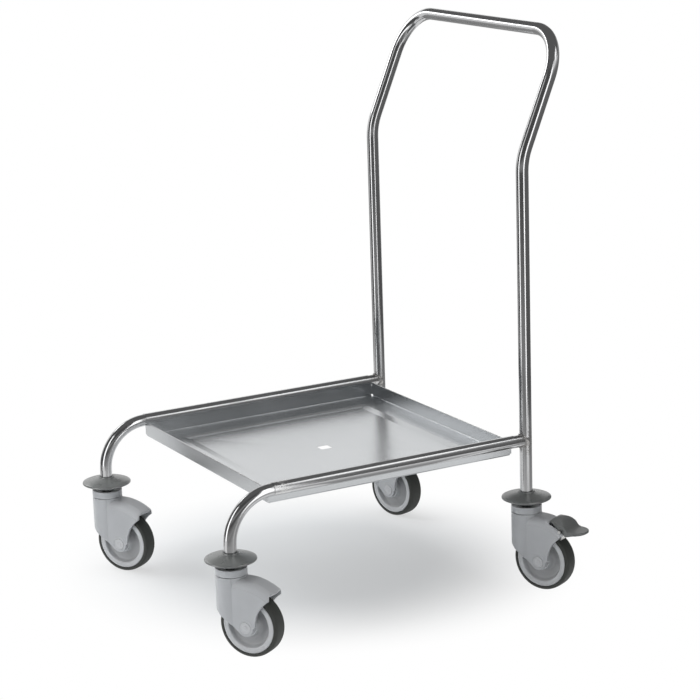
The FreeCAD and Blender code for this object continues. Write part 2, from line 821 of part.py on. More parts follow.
def castor_pieces(braked):
    """Every piece of one castor, by name."""
    pieces = {
        "bumper": bumper(),
        "tube_plug": tube_plug(),
        "stem": stem(),
        "stem_nut": stem_nut(),
        "collar": collar(),
        "fork": fork(braked),
        "swivel_bearing": Part.makeCompound(swivel_bearing()),
        "axle": axle(),
        "axle_caps": Part.makeCompound(axle_caps()),
        "wheel_core": wheel_core(),
        "tyre": tyre(),
        "wheel_bearings": Part.makeCompound(wheel_bearings()),
    }
    if braked:
        pieces["brake_pin"] = brake_pin()
        pieces["brake_pedal"] = brake_pedal()
        pieces["brake_shoe"] = brake_shoe()
    return pieces


def all_parts():
    """Every node of the trolley in its place."""
    parts = {
        "handle_tube": handle_tube(),
        "left_side_rail": side_rail(-1),
        "right_side_rail": side_rail(1),
        "rail_welds": Part.makeCompound([rail_weld(-1), rail_weld(1)]),
        "tray": tray(),
    }
    kinds = {braked: castor_pieces(braked) for braked in (False, True)}
    for name, (side, y, turn, braked) in CASTORS.items():
        for piece, shape in kinds[braked].items():
            placed = shape.copy()
            placed.rotate(ORIGIN, Z_AXIS, turn)
            placed.translate(Vector(side * side_x, y, ground))
            parts[piece + "_" + name] = placed
    return parts


os.makedirs("parts", exist_ok=True)
for node, shape in all_parts().items():
    shape.exportStep("parts/" + node + ".step")
    state = "valid" if shape.isValid() else "NOT VALID"
    print(node, len(shape.Solids), "solids", round(shape.Volume), "mm3", state)
print("ground at", round(ground, 3))
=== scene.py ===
import json
import math

import bpy
from mathutils import Matrix, Vector


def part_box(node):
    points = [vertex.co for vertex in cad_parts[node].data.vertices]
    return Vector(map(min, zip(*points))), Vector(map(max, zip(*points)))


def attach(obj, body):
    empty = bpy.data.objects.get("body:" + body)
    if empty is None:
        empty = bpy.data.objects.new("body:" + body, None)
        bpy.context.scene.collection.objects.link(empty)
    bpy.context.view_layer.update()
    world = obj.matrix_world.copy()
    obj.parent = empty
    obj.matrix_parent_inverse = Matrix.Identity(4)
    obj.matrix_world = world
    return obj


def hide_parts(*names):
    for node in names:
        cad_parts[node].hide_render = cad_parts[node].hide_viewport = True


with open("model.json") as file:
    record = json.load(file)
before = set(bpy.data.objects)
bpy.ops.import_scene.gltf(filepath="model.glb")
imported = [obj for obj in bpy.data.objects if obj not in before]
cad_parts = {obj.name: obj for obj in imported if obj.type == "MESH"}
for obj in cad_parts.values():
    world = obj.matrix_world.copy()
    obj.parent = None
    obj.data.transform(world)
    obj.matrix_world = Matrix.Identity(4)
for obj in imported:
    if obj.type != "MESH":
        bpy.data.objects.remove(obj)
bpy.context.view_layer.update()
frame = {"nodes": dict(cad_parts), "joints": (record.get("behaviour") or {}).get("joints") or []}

nodes = frame["nodes"]
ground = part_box("tyre_front_right")[0][2]
CASTORS = ("front_left", "front_right", "rear_left", "rear_right")


# Shader helpers

class Wire:
    """A node's output; arithmetic on wires adds Math nodes."""

    def __init__(self, shader, socket):
        self.shader = shader
        self.socket = socket

    def maths(self, operation, first, second):
        return self.shader.node("ShaderNodeMath", {"operation": operation}, {0: first, 1: second})

    def __add__(self, other):
        return self.maths("ADD", self, other)

    def __radd__(self, other):
        return self.maths("ADD", other, self)

    def __sub__(self, other):
        return self.maths("SUBTRACT", self, other)

    def __rsub__(self, other):
        return self.maths("SUBTRACT", other, self)

    def __mul__(self, other):
        return self.maths("MULTIPLY", self, other)

    def __rmul__(self, other):
        return self.maths("MULTIPLY", other, self)

    def __pow__(self, other):
        return self.maths("POWER", self, other)


class Shader:
    """The nodes of one material or of the world."""

    def __init__(self, tree):
        self.tree = tree
        tree.nodes.clear()

    def node(self, kind, settings=None, sockets=None, output=0):
        """Add a node: its settings first, then the values or links of its sockets."""
        added = self.tree.nodes.new(kind)
        for key, value in (settings or {}).items():
            setattr(added, key, value)
        for key, value in (sockets or {}).items():
            if isinstance(value, Wire):
                self.tree.links.new(value.socket, added.inputs[key])
            else:
                added.inputs[key].default_value = value
        return Wire(self, added.outputs[output]) if added.outputs else None

    def position(self):
        """The three Object coordinates, in metres."""
        place = self.node("ShaderNodeTexCoord", output="Object")
        split = self.node("ShaderNodeSeparateXYZ", sockets={0: place})
        axes = split.socket.node.outputs
        return [Wire(self, axes[index]) for index in range(3)]

    def point(self, x, y, z):
        return self.node("ShaderNodeCombineXYZ", sockets={0: x, 1: y, 2: z})

    def noise(self, point, scale, detail=2.0, roughness=0.5):
        """Noise from 0 to 1 about a mean of a half."""
        sockets = {"Vector": point, "Scale": scale, "Detail": detail, "Roughness": roughness}
        return self.node("ShaderNodeTexNoise", sockets=sockets, output="Fac")

    def step(self, value, low, high, below=0.0, above=1.0):
        """A smooth rise from one level to another between two values."""
        sockets = {"Value": value, "From Min": low, "From Max": high, "To Min": below, "To Max": above}
        return self.node("ShaderNodeMapRange", {"interpolation_type": "SMOOTHSTEP"}, sockets)

    def absolute(self, value):
        return self.node("ShaderNodeMath", {"operation": "ABSOLUTE"}, {0: value})

    def mix_colour(self, factor, first, second):
        settings = {"data_type": "RGBA"}
        return self.node("ShaderNodeMix", settings, {0: factor, 6: first, 7: second}, output=2)

    def bump(self, height, distance):
        return self.node("ShaderNodeBump", sockets={"Height": height, "Distance": distance, "Strength": 1.0})

    def surface(self, sockets):
        shade = self.node("ShaderNodeBsdfPrincipled", sockets=sockets)
        self.node("ShaderNodeOutputMaterial", sockets={"Surface": shade})


def new_finish(name):
    material = bpy.data.materials.new(name)
    material.use_nodes = True
    return material, Shader(material.node_tree)


def colour(red, green, blue):
    return (red, green, blue, 1.0)


# Finishes

MM = 0.001

# Where the tray's sides are rolled over the rails, and how far back their front ends are scuffed
ROLL_START = 281.7 * MM
ROLL_HEIGHT = 27.5 * MM
ROLL_FRONT = -272.0 * MM
SCUFFED_ALL = ROLL_FRONT + 18.0 * MM
SCUFFED_NONE = ROLL_FRONT + 42.0 * MM

# Where the rails are welded to the uprights, and how far the heat has dulled the metal
RAIL_SIDE = 294.0 * MM
RAIL_HEIGHT = 30.0 * MM
RAIL_END = 302.0 * MM
DULLED_ALL = 15.0 * MM
DULLED_NONE = 40.0 * MM

# How far a tube's polishing lines are squeezed along it and across it
LINES_ALONG = 6.0
LINES_ACROSS = 900.0

# Tints of the bare steel
TUBE_DARK = colour(0.50, 0.505, 0.515)
TUBE_LIGHT = colour(0.60, 0.60, 0.60)
WELD_STAIN = colour(0.33, 0.315, 0.30)
SHEET_DARK = colour(0.565, 0.585, 0.60)
SHEET_LIGHT = colour(0.69, 0.705, 0.72)
ROLLED_SHEET = colour(0.56, 0.56, 0.565)
SCUFFED_SHEET = colour(0.86, 0.86, 0.85)


def tube_steel(name, along):
    """Satin tube: polishing lines along one axis, a faint cloudiness and dulled metal round the welds."""
    material, shader = new_finish(name)
    place = shader.position()
    beside = shader.absolute(place[0]) - RAIL_SIDE
    behind = place[1] - RAIL_END
    above = place[2] - RAIL_HEIGHT
    from_weld = (beside * beside + behind * behind + above * above) ** 0.5
    dulled = shader.step(from_weld, DULLED_ALL, DULLED_NONE, below=1.0, above=0.0)
    speckle = shader.noise(shader.point(*place), scale=190.0, detail=4.0, roughness=0.6)
    marks = dulled * shader.step(speckle, low=0.42, high=0.62)
    stretch = [place[axis] * (LINES_ALONG if axis == along else LINES_ACROSS) for axis in range(3)]
    lines = shader.noise(shader.point(*stretch), scale=1.0, detail=3.0)
    clouds = shader.noise(shader.point(*place), scale=14.0, detail=3.0)
    tint = shader.mix_colour(clouds, TUBE_DARK, TUBE_LIGHT)
    shader.surface({
        "Base Color": shader.mix_colour(marks * 0.6, tint, WELD_STAIN),
        "Metallic": 1.0,
        "Roughness": 0.10 + 0.03 * lines + 0.04 * clouds + 0.22 * marks,
        "Normal": shader.bump(lines, 0.006 * MM),
    })
    return material


def sheet_steel():
    """Brushed sheet: grain across the floor and along the walls, polished where rolled over the rails."""
    material, shader = new_finish("sheet_steel")
    x, y, z = shader.position()
    normal = shader.node("ShaderNodeNewGeometry", output="Normal")
    normal_x = shader.node("ShaderNodeSeparateXYZ", sockets={0: normal})
    sideways = shader.absolute(normal_x)
    level = 1.0 - sideways
    along = x * level + y * sideways
    across = y * level + z
    fine_lines = shader.point(along * 9.0, across * 1300.0, 0.0)
    broad_lines = shader.point(along * 2.5, across * 60.0, 0.0)
    grain = shader.noise(fine_lines, scale=1.0, detail=4.0, roughness=0.65)
    bands = shader.noise(broad_lines, scale=1.0, detail=3.0)
    clouds = shader.noise(shader.point(x, y, z), scale=7.0, detail=3.0)
    shade = 0.5 * grain + 0.3 * bands + 0.2 * clouds
    tint = shader.mix_colour(shade, SHEET_DARK, SHEET_LIGHT)
    beside = shader.step(shader.absolute(x), low=ROLL_START, high=ROLL_START + 0.4 * MM)
    above = shader.step(z, low=ROLL_HEIGHT, high=ROLL_HEIGHT + 1.5 * MM)
    rolled = shader.node("ShaderNodeMath", {"operation": "MAXIMUM"}, {0: beside, 1: above})
    brushed = 0.17 + 0.09 * grain + 0.04 * clouds - 0.06 * sideways
    polished = 0.09 + 0.06 * grain + 0.03 * clouds
    front_end = shader.step(y, SCUFFED_ALL, SCUFFED_NONE, below=1.0, above=0.0)
    right_side = shader.step(x, low=0.0, high=MM)
    rubbed = shader.noise(shader.point(x * 60.0, y * 45.0, z * 160.0), scale=1.0, detail=4.0, roughness=0.65)
    scuffs = rolled * front_end * right_side * shader.step(rubbed, low=0.47, high=0.60)
    rolled_tint = shader.mix_colour(rolled * 0.8, tint, ROLLED_SHEET)
    shader.surface({
        "Base Color": shader.mix_colour(scuffs * 0.7, rolled_tint, SCUFFED_SHEET),
        "Metallic": 1.0,
        "Roughness": brushed * (1.0 - rolled) + polished * rolled + 0.28 * scuffs,
        "Normal": shader.bump(grain * (1.0 - 0.8 * rolled), 0.015 * MM),
    })
    return material


def plain_steel(name, shade, roughness):
    """Small steel pieces: plated, turned or welded, with a fine uneven gloss."""
    material, shader = new_finish(name)
    place = shader.point(*shader.position())
    fine = shader.noise(place, scale=900.0, detail=3.0)
    patches = shader.noise(place, scale=120.0, detail=2.0)
    dark = [0.82 * channel for channel in shade]
    shader.surface({
        "Base Color": shader.mix_colour(patches, colour(*dark), colour(*shade)),
        "Metallic": 1.0,
        "Roughness": roughness + 0.12 * patches,
        "Normal": shader.bump(fine, 0.04 * MM),
    })
    return material


def moulded(name, shade, roughness, depth, index=1.5, grime=0.0):
    """Moulded plastic or rubber: fine texture, soft clouds of tone and, where asked, painted shade darkening
    what is recessed.
    """
    material, shader = new_finish(name)
    place = shader.point(*shader.position())
    fine = shader.noise(place, scale=1600.0, detail=2.0)
    clouds = shader.noise(place, scale=38.0, detail=3.0)
    dark = [0.90 * channel for channel in shade]
    light = [1.07 * channel for channel in shade]
    tone = shader.mix_colour(0.7 * clouds + 0.3 * fine, colour(*dark), colour(*light))
    # Painted shade: the recess attribute darkens the tone towards the middle of a recess, where shade falls
    if grime:
        recess = shader.node("ShaderNodeAttribute", {"attribute_name": "recess"}, output="Fac")
        shaded_tone = [0.35 * channel for channel in shade]
        tone = shader.mix_colour(recess * grime, tone, colour(*shaded_tone))
    shader.surface({
        "Base Color": tone,
        "Roughness": roughness + 0.12 * clouds + 0.06 * fine,
        "IOR": index,
        "Normal": shader.bump(fine, depth),
    })
    return material


STEELS = {
    # finish: (shade, roughness)
    "weld_steel": ((0.50, 0.49, 0.48), 0.30),
    "plated_steel": ((0.58, 0.58, 0.57), 0.22),
    "bearing_steel": ((0.60, 0.60, 0.60), 0.14),
}
PLASTICS = {
    # finish: shade, roughness and depth of its texture, and where they differ, refraction and painted shade
    # in recesses
    "castor_grey": {"shade": (0.385, 0.392, 0.405), "roughness": 0.27, "depth": 0.02 * MM},
    "wheel_grey": {"shade": (0.47, 0.475, 0.485), "roughness": 0.24, "depth": 0.02 * MM, "grime": 0.9},
    "cap_grey": {"shade": (0.455, 0.46, 0.47), "roughness": 0.24, "depth": 0.02 * MM},
    "pedal_grey": {"shade": (0.125, 0.130, 0.128), "roughness": 0.28, "depth": 0.03 * MM},
    "bumper_grey": {"shade": (0.113, 0.119, 0.117), "roughness": 0.20, "depth": 0.03 * MM, "index": 2.2},
    "tyre_grey": {"shade": (0.033, 0.035, 0.031), "roughness": 0.58, "depth": 0.06 * MM},
    "plug_black": {"shade": (0.03, 0.03, 0.03), "roughness": 0.45, "depth": 0.03 * MM},
}
finishes = {
    "tube_upright": tube_steel("tube_upright", along=2),
    "tube_rail": tube_steel("tube_rail", along=1),
    "sheet_steel": sheet_steel(),
}
for name, (shade, roughness) in STEELS.items():
    finishes[name] = plain_steel(name, shade, roughness)
for name, look in PLASTICS.items():
    finishes[name] = moulded(name, **look)


def dress(node, finish):
    """Give a carried-over solid its finish."""
    mesh = nodes[node].data
    mesh.materials.clear()
    mesh.materials.append(finishes[finish])


# Modelling helpers

def start_piece():
    if bpy.context.mode != "OBJECT":
        bpy.ops.object.mode_set(mode="OBJECT")
    bpy.ops.object.select_all(action="DESELECT")


def select_faces(piece, chosen):
    """Go into edit mode with only the chosen faces selected."""
    bpy.ops.object.mode_set(mode="EDIT")
    bpy.ops.mesh.select_mode(type="FACE")
    bpy.ops.mesh.select_all(action="DESELECT")
    bpy.ops.object.mode_set(mode="OBJECT")
    for face in piece.data.polygons:
        face.select = chosen(face)
    bpy.ops.object.mode_set(mode="EDIT")


def apply_modifier(piece, name, kind, **settings):
    bpy.context.view_layer.objects.active = piece
    modifier = piece.modifiers.new(name, kind)
    for key, value in settings.items():
        setattr(modifier, key, value)
    bpy.ops.object.modifier_apply(modifier=name)


# The most of a run that one rounded corner takes
LARGEST_SHARE = 0.45


def softened(points, radius, steps=4):
    """Round the inner corners of a chain of points, each as far as its runs allow."""
    chain = [Vector(points[0])]
    for before, corner, after in zip(points, points[1:], points[2:]):
        corner = Vector(corner)
        back = Vector(before) - corner
        ahead = Vector(after) - corner
        reach = min(radius, LARGEST_SHARE * back.length, LARGEST_SHARE * ahead.length)
        first = corner + reach * back.normalized()
        last = corner + reach * ahead.normalized()
        for step in range(steps + 1):
            share = step / steps
            chain.append((1 - share) ** 2 * first + 2 * share * (1 - share) * corner + share ** 2 * last)
    chain.append(Vector(points[-1]))
    return chain


def lathe(name, points, turns=112):
    """Draw a profile of (radius, height) points by extruding one vertex, and spin it about Z."""
    start_piece()
    bpy.ops.mesh.primitive_plane_add(size=MM)
    piece = bpy.context.object
    piece.name = name
    bpy.ops.object.mode_set(mode="EDIT")
    bpy.ops.mesh.select_all(action="SELECT")
    bpy.ops.mesh.merge(type="CENTER")
    bpy.ops.transform.translate(value=(points[0][0], 0.0, points[0][1]))
    for here, there in zip(points, points[1:]):
        step = (there[0] - here[0], 0.0, there[1] - here[1])
        bpy.ops.mesh.extrude_region_move(TRANSFORM_OT_translate={"value": step})
    bpy.ops.mesh.select_all(action="SELECT")
    bpy.ops.mesh.spin(steps=turns, angle=2 * math.pi, center=(0.0, 0.0, 0.0), axis=(0.0, 0.0, 1.0))
    bpy.ops.mesh.select_all(action="SELECT")
    bpy.ops.mesh.remove_doubles(threshold=1e-6)
    bpy.ops.mesh.normals_make_consistent(inside=False)
    bpy.ops.object.mode_set(mode="OBJECT")
    bpy.ops.object.shade_smooth_by_angle(angle=math.radians(35.0))
    return piece


# Castors, modelled about the swivel axis: the wheel trails along +X and Z = 0 is the ground

TUBE_RADIUS = 12.5 * MM
COLLAR_RADIUS = 31.0 * MM
COLLAR_WALL = 4.0 * MM
COLLAR_BORE = 14.0 * MM
COLLAR_BOTTOM = 157.6 * MM
COLLAR_TOP = 171.5 * MM
BUMPER_BOTTOM = 174.2 * MM
BUMPER_TOP = 200.0 * MM
RIM_SIDE = 16.0 * MM
CHEEK_SIDE = 27.0 * MM
CHEEK_RISE = 0.9 * MM
HUMP_DEPTH = 24.0 * MM
HUMP_SLOPE = 0.15
HUMP_PASSES = 90
VOXEL = 0.7 * MM
KEPT_SHARE = 0.2

joints = {joint["name"]: joint for joint in frame["joints"]}


def castor_place(castor):
    """Where a castor stands and how it is turned, as a matrix."""
    swivel = Vector(joints["swivel_turn_" + castor]["pos_m"])
    axis = joints["wheel_roll_" + castor]["axis"]
    turn = math.atan2(-axis[0], axis[1])
    return Matrix.Translation((swivel.x, swivel.y, ground)) @ Matrix.Rotation(turn, 4, "Z")


def axle_place(castor):
    """The wheel's axis laid along the local Z of a turned piece, as a matrix."""
    middle = Vector(joints["wheel_roll_" + castor]["pos_m"])
    turn = castor_place(castor).to_3x3().to_4x4()
    return Matrix.Translation(middle) @ turn @ Matrix.Rotation(math.radians(90.0), 4, "X")


def set_out(master, name, node, body, matrix, finish):
    """Stand a copy of a finished piece in for a solid."""
    copy = master.copy()
    copy.data = master.data.copy()
    copy.name = name
    copy.data.name = name
    bpy.context.scene.collection.objects.link(copy)
    copy.data.transform(matrix)
    copy.data.materials.clear()
    copy.data.materials.append(finishes[finish])
    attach(copy, body)
    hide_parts(node)


def drop(master):
    bpy.data.objects.remove(master)


def both_sides(half):
    """A half section of (radius, side) points and its mirror image, as one chain."""
    return [(radius, -side) for radius, side in half[::-1]] + half


def tyre():
    """Solid tyre: rounded shoulders, a faint crown and a moulding step beside the rim."""
    half = [
        # (radius, side) in millimetres, from the bore to the tread
        (54.6, 16.2), (55.6, 17.0), (57.2, 16.7), (59.0, 16.5),
        (61.4, 14.4), (62.3, 10.5), (62.5, 4.0),
    ]
    outer = softened(both_sides(half)[::-1], 1.4)
    chain = [(point[0] * MM, point[1] * MM) for point in outer]
    return lathe("tyre", chain + [chain[0]])


def wheel_core():
    """Rim ring with a rolled inner ledge, dished web and stepped hub."""
    half = [
        # (radius, side) in millimetres: rim, ledge, web and hub
        (54.4, 15.2), (53.6, 16.0), (45.0, 16.0),
        (43.4, 15.0), (41.6, 9.2), (39.6, 6.8),
        (33.0, 5.4), (26.5, 5.2), (22.0, 7.0),
        (20.2, 11.0), (19.2, 18.7), (18.4, 19.5), (14.1, 19.5),
    ]
    outer = softened(both_sides(half)[::-1], 2.2)
    chain = [(point[0] * MM, point[1] * MM) for point in outer]
    core = lathe("wheel_core", chain + [chain[0]])
    # Painted shade: the recess attribute is one at the wheel's middle plane and nought at the rim faces, so
    # the finish darkens the dished web and hub
    recess = core.data.attributes.new("recess", "FLOAT", "POINT")
    for vertex, depth in zip(core.data.vertices, recess.data):
        depth.value = 1.0 - min(abs(vertex.co.z) / RIM_SIDE, 1.0)
    return core


def collar():
    """Fixed cover over the swivel bearing, with eased edges."""
    inner = COLLAR_RADIUS - COLLAR_WALL
    points = [
        (inner, COLLAR_BOTTOM),
        (COLLAR_RADIUS, COLLAR_BOTTOM),
        (COLLAR_RADIUS, COLLAR_TOP),
        (inner, COLLAR_TOP),
        (inner - 0.5 * MM, COLLAR_TOP - 3.0 * MM),
        (COLLAR_BORE, COLLAR_TOP - 3.0 * MM),
        (COLLAR_BORE, COLLAR_TOP - 4.0 * MM),
        (inner - 1.0 * MM, COLLAR_TOP - 5.0 * MM),
        (inner, COLLAR_BOTTOM),
    ]
    return lathe("collar", softened(points, 1.1 * MM))


def bumper():
    """Soft saucer on the tube: drawn-in foot, round edge and a small lip at the tube."""
    bore = TUBE_RADIUS + 0.05 * MM
    points = [
        (bore, BUMPER_BOTTOM),
        (22.5 * MM, BUMPER_BOTTOM),
        (34.0 * MM, BUMPER_BOTTOM + 3.6 * MM),
        (46.5 * MM, BUMPER_BOTTOM + 9.4 * MM),
        (50.5 * MM, BUMPER_BOTTOM + 11.0 * MM),
        (50.2 * MM, BUMPER_BOTTOM + 13.9 * MM),
        (44.5 * MM, BUMPER_BOTTOM + 16.4 * MM),
        (28.0 * MM, BUMPER_BOTTOM + 21.0 * MM),
        (17.0 * MM, BUMPER_BOTTOM + 23.4 * MM),
        (16.0 * MM, BUMPER_TOP),
        (bore, BUMPER_TOP),
        (bore, BUMPER_BOTTOM),
    ]
    return lathe("bumper", softened(points, 3.2 * MM, 5))


def axle_caps():
    """The two axle caps: eased rim, sunk ring and a low button in the middle."""
    half = [
        # (radius, side) in millimetres: back, eased rim, sunk ring and button
        (0.0, 24.4), (11.5, 24.4),
        (11.5, 28.3), (10.7, 28.9), (9.5, 28.9),
        (8.8, 28.3), (4.8, 28.3),
        (4.2, 28.8), (0.0, 28.95),
    ]
    caps = []
    for way in (1, -1):
        chain = [(radius * MM, way * side * MM) for radius, side in half]
        caps.append(lathe("axle_caps", softened(chain, 0.5 * MM), 64))
    start_piece()
    for cap in caps:
        cap.select_set(True)
    bpy.context.view_layer.objects.active = caps[0]
    bpy.ops.object.join()
    return caps[0]


def raise_cheeks(piece):
    """Lift the flat outer cheeks, so that they end in a moulded shoulder below the hood."""
    for way in (1, -1):
        def on_cheek(face):
            corners = [piece.data.vertices[index].co.y * way for index in face.vertices]
            return min(corners) > CHEEK_SIDE - 0.02 * MM
        select_faces(piece, on_cheek)
        bpy.ops.mesh.extrude_region_move(TRANSFORM_OT_translate={"value": (0.0, way * CHEEK_RISE, 0.0)})
        bpy.ops.object.mode_set(mode="OBJECT")


def ease_hump(piece):
    """Blend the pedal's crowned hump into the valley behind it."""
    top = max(vertex.co.z for vertex in piece.data.vertices)
    upper = []
    for vertex in piece.data.vertices:
        if vertex.normal.z > HUMP_SLOPE and vertex.co.z > top - HUMP_DEPTH:
            upper.append(vertex.index)
    hump = piece.vertex_groups.new(name="hump")
    hump.add(upper, 1.0, "REPLACE")
    apply_modifier(piece, "ease", "SMOOTH", factor=0.5, iterations=HUMP_PASSES, vertex_group="hump")
    piece.vertex_groups.clear()


def moulded_copy(node, castor, passes):
    """A solid's shape brought to its castor's axis, with all its edges rounded as moulded."""
    start_piece()
    piece = nodes[node].copy()
    piece.data = nodes[node].data.copy()
    piece.parent = None
    for key in list(piece.keys()):
        del piece[key]
    bpy.context.scene.collection.objects.link(piece)
    piece.data.transform(castor_place(castor).inverted())
    piece.select_set(True)
    bpy.context.view_layer.objects.active = piece
    bpy.ops.object.mode_set(mode="EDIT")
    bpy.ops.mesh.select_all(action="SELECT")
    bpy.ops.mesh.remove_doubles(threshold=2e-6)
    bpy.ops.object.mode_set(mode="OBJECT")
    if node.startswith("fork"):
        raise_cheeks(piece)
    apply_modifier(piece, "even", "REMESH", mode="VOXEL", voxel_size=VOXEL)
    apply_modifier(piece, "round", "SMOOTH", factor=0.5, iterations=passes)
    if node.startswith("brake_pedal"):
        ease_hump(piece)
    apply_modifier(piece, "thin", "DECIMATE", ratio=KEPT_SHARE)
    bpy.ops.object.shade_smooth()
    return piece


TURNED_PIECES = {
    # piece: (maker, body that it rides on, finish, whether it turns about the axle)
    "tyre": (tyre, "wheel_", "tyre_grey", True),
    "wheel_core": (wheel_core, "wheel_", "wheel_grey", True),
    "axle_caps": (axle_caps, "swivel_", "cap_grey", True),
    "collar": (collar, "trolley_frame", "castor_grey", False),
    "bumper": (bumper, "trolley_frame", "bumper_grey", False),
}
for piece, (maker, body, finish, on_axle) in TURNED_PIECES.items():
    master = maker()
    for castor in CASTORS:
        rides = body + castor if body.endswith("_") else body
        matrix = axle_place(castor) if on_axle else castor_place(castor)
        set_out(master, piece + "_piece_" + castor, piece + "_" + castor, rides, matrix, finish)
    drop(master)

MOULDED_PIECES = {
    # piece: (body that it rides on, finish, passes of rounding, castors to take it from)
    "fork": ("swivel_", "castor_grey", 3, ("front_right", "rear_right")),
    "brake_pedal": ("pedal_", "pedal_grey", 14, ("rear_right",)),
}
for piece, (body, finish, passes, sources) in MOULDED_PIECES.items():
    for source in sources:
        master = moulded_copy(piece + "_" + source, source, passes)
        for castor in (source.replace("right", "left"), source):
            name = piece + "_piece_" + castor
            set_out(master, name, piece + "_" + castor, body + castor, castor_place(castor), finish)
        drop(master)

FRAME_FINISHES = {
    "handle_tube": "tube_upright",
    "left_side_rail": "tube_rail",
    "right_side_rail": "tube_rail",
    "rail_welds": "weld_steel",
    "tray": "sheet_steel",
}
for node, finish in FRAME_FINISHES.items():
    dress(node, finish)
CASTOR_FINISHES = {
    "tube_plug": "plug_black",
    "stem": "plated_steel",
    "stem_nut": "plated_steel",
    "swivel_bearing": "bearing_steel",
    "axle": "plated_steel",
    "wheel_bearings": "bearing_steel",
    "brake_pin": "plated_steel",
    "brake_shoe": "plated_steel",
}
for castor in CASTORS:
    for piece, finish in CASTOR_FINISHES.items():
        if piece + "_" + castor in nodes:
            dress(piece + "_" + castor, finish)


# Floor, light and camera

CAMERA_AZIMUTH = 61.209
CAMERA_ELEVATION = 14.064
CAMERA_ROLL = -1.849
CAMERA_PLACE = (3.9886, -2.1245, 1.3319)
LENS_LENGTH = 117.41
SENSOR_WIDTH = 36.0
TOWARDS_CAMERA = CAMERA_AZIMUTH - 90.0
LAMP_AIM = Vector((0.0, 0.0, 0.25))
FILL_LIGHT = 0.36
WHITE = colour(1.0, 1.0, 1.0)
FLOOR_SIZE = 80.0

# Painted shadow pool on the floor: a soft ellipse where the white glow thins to show the darkened matt floor
# and its cast shadows, white beyond it
SHADOW_POOL_MIDDLE = (-0.068, 0.007)
SHADOW_POOL_TURN = 35.7
SHADOW_POOL_SLIM = 1.068
SHADOW_POOL_INSIDE = 0.223
SHADOW_POOL_OUTSIDE = 0.582
SHADOW_POOL_GLOW = 0.346

# The floor's colour, tinted cool for the painted shadow pool, and the share of it that the eye and the metal
# see, which paints the pool darker
FLOOR_TINT = (0.84, 0.875, 0.90)
FLOOR_SEEN = 0.7

# Cards round the trolley, which only reflections show: metres, and degrees right of the camera
CARD_RADIUS = 1.7
CARD_TOP = 2.2
CARD_FOOT = ground + 0.001
CARD_SILL = ground + 0.002
FRONT = (-50.0, 28.0)
RIGHT = (43.0, 145.0)


def seen_directly(shader):
    """One for the eye and for what metal and glass show, nought for soft light."""
    path = shader.node("ShaderNodeLightPath").socket.node.outputs
    rays = [Wire(shader, path[ray]) for ray in ("Is Camera Ray", "Is Glossy Ray", "Is Transmission Ray")]
    return shader.node("ShaderNodeMath", {"operation": "MINIMUM"}, {0: rays[0] + rays[1] + rays[2], 1: 1.0})


def pale_floor():
    """Wide white floor with a painted shadow pool, in which its soft cast shadows show, and white in the
    metal.
    """
    start_piece()
    bpy.ops.mesh.primitive_plane_add(size=FLOOR_SIZE, location=(0.0, 0.0, ground))
    floor = bpy.context.object
    floor.name = "floor"
    material, shader = new_finish("pale_floor")
    x, y = shader.position()[:2]
    turn = math.radians(SHADOW_POOL_TURN)
    right = x - SHADOW_POOL_MIDDLE[0]
    back = y - SHADOW_POOL_MIDDLE[1]
    lengthwise = right * math.cos(turn) + back * math.sin(turn)
    crosswise = back * math.cos(turn) - right * math.sin(turn)
    reach = (lengthwise * lengthwise + crosswise * crosswise * SHADOW_POOL_SLIM ** 2) ** 0.5
    # Painted shadow: inside the ellipse the white glow gives way to the darker matt floor
    far = shader.step(reach, SHADOW_POOL_INSIDE, SHADOW_POOL_OUTSIDE, below=SHADOW_POOL_GLOW, above=1.0)
    seen = seen_directly(shader)
    # Painted shade: the eye and the metal see the matt floor darker than it lights the trolley
    darker = [FLOOR_SEEN * channel for channel in FLOOR_TINT]
    tint = shader.mix_colour(seen, colour(*FLOOR_TINT), colour(*darker))
    matt = shader.node("ShaderNodeBsdfDiffuse", sockets={"Color": tint})
    glow = shader.node("ShaderNodeEmission", sockets={"Color": WHITE, "Strength": 1.0})
    mixed = shader.node("ShaderNodeMixShader", sockets={0: seen * far, 1: matt, 2: glow})
    shader.node("ShaderNodeOutputMaterial", sockets={"Surface": mixed})
    floor.data.materials.append(material)


def studio_world():
    """White backdrop to the eye and in the metal, dimmer as a source of light."""
    world = bpy.data.worlds.new("studio")
    bpy.context.scene.world = world
    world.use_nodes = True
    shader = Shader(world.node_tree)
    dim = shader.node("ShaderNodeBackground", sockets={"Color": WHITE, "Strength": FILL_LIGHT})
    white = shader.node("ShaderNodeBackground", sockets={"Color": WHITE, "Strength": 1.0})
    mixed = shader.node("ShaderNodeMixShader", sockets={0: seen_directly(shader), 1: dim, 2: white})
    shader.node("ShaderNodeOutputWorld", sockets={"Surface": mixed})


def soft_lamp(name, offset, distance, height, size, brightness, lights=True, mirrored=True):
    """Soft lamp at an angle right of the camera, facing the trolley: it lights, is mirrored, or both."""
    lamp = bpy.data.lights.new(name, "AREA")
    lamp.shape = "RECTANGLE"
    lamp.size = size[0]
    lamp.size_y = size[1]
    lamp.energy = brightness * math.pi * size[0] * size[1]
    holder = bpy.data.objects.new(name, lamp)
    bpy.context.scene.collection.objects.link(holder)
    angle = math.radians(TOWARDS_CAMERA + offset)
    holder.location = (distance * math.cos(angle), distance * math.sin(angle), height)
    holder.visible_diffuse = lights
    holder.visible_glossy = mirrored
    aim = LAMP_AIM - holder.location
    holder.rotation_euler = aim.to_track_quat("-Z", "Y").to_euler()


